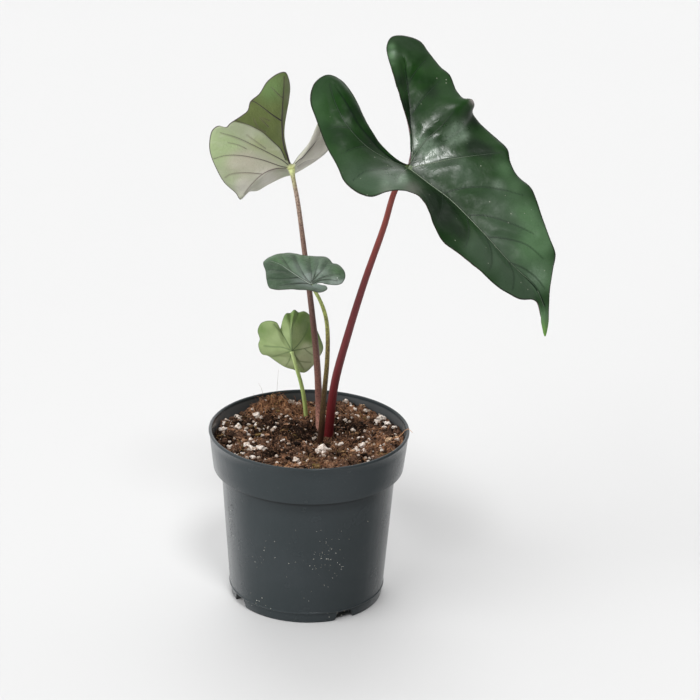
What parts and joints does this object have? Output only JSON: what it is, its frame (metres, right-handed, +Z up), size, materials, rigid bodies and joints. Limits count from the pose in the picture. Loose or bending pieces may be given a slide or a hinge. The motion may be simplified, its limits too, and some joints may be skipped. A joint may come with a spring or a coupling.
{
  "type": "potted purple cloak alocasia",
  "caption": "Young aroid house plant with large dark arrow-shaped leaves on slim stalks, standing in soil in a plain round nursery pot.",
  "frame": {"origin": "on the ground, under the middle of the whole plant's box", "axes": "+Z up from the pot's foot to the leaves; the front of the plant, as in the picture, looks along -Y, and the large leaf reaches out along +X"},
  "size_m": [0.1994, 0.12, 0.3352],
  "materials": {
    "pot_plastic": "satin",
    "potting_soil": "rough and damp",
    "large_leaf": "waxy gloss",
    "red_stalk": "waxy satin",
    "tall_leaf": "matt underside with dark veins",
    "brown_stalk": "speckled satin",
    "small_leaf": "waxy satin",
    "olive_stalk": "speckled satin",
    "young_leaf": "matt underside with green veins",
    "green_stalk": "waxy satin"
  },
  "bodies": {
    "root": {"pot": "pot_plastic", "soil": "potting_soil", "blade_large": "large_leaf", "petiole_large": "red_stalk", "blade_tall": "tall_leaf", "petiole_tall": "brown_stalk", "blade_small": "small_leaf", "petiole_small": "olive_stalk", "blade_young": "young_leaf", "petiole_young": "green_stalk"}
  },
  "joints": []
}
